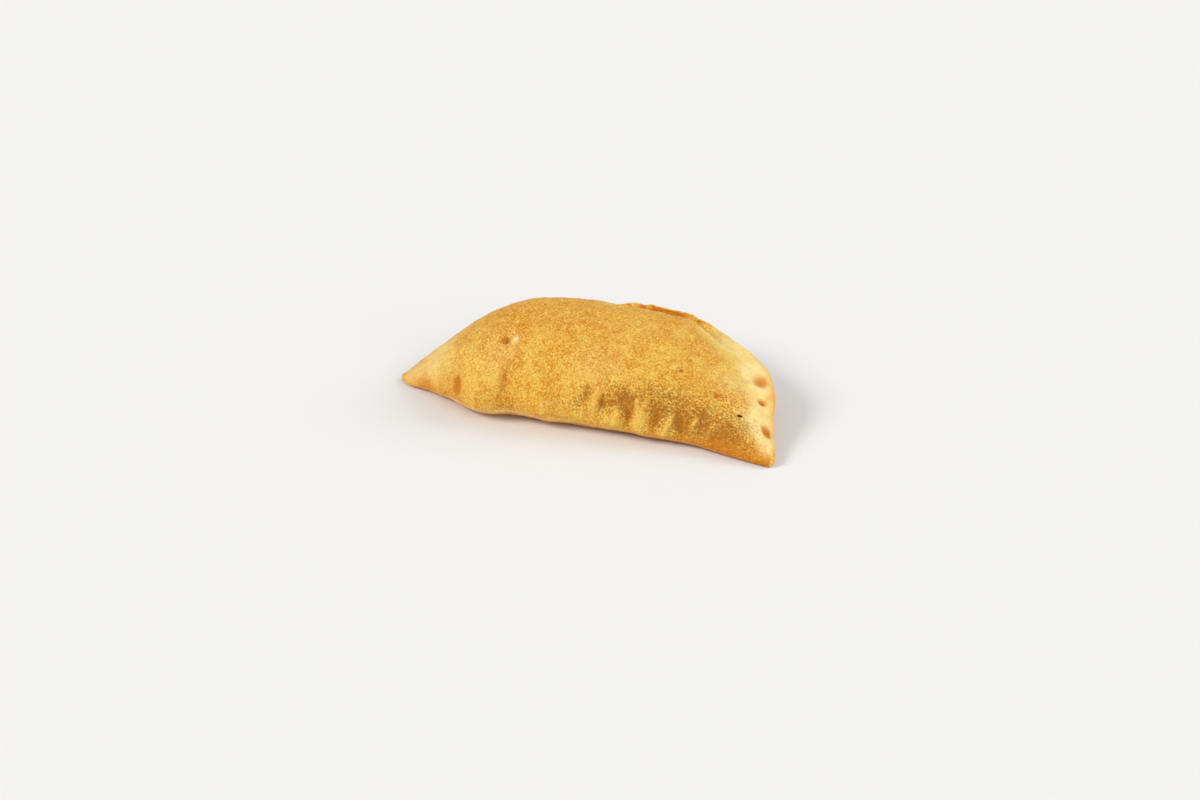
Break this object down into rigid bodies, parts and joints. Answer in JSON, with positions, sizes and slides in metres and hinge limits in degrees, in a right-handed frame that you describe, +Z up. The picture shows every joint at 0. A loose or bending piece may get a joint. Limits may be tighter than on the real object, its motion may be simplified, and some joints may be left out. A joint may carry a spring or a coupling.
{
  "type": "panzerotto",
  "caption": "Baked half-moon turnover with a puffed golden crust, a folded front edge and a crimped curved edge, lying on its flat base.",
  "frame": {"origin": "centre of the turnover's footprint box, on the surface it lies on", "axes": "+X from the left tip to the right tip along the fold, +Y from the folded edge to the crimped edge, +Z up"},
  "size_m": [0.199, 0.116, 0.0453],
  "materials": {
    "crust": "baked golden crust, matte with a faint oily sheen"
  },
  "bodies": {
    "root": {"panzerotto": "crust"}
  },
  "joints": []
}
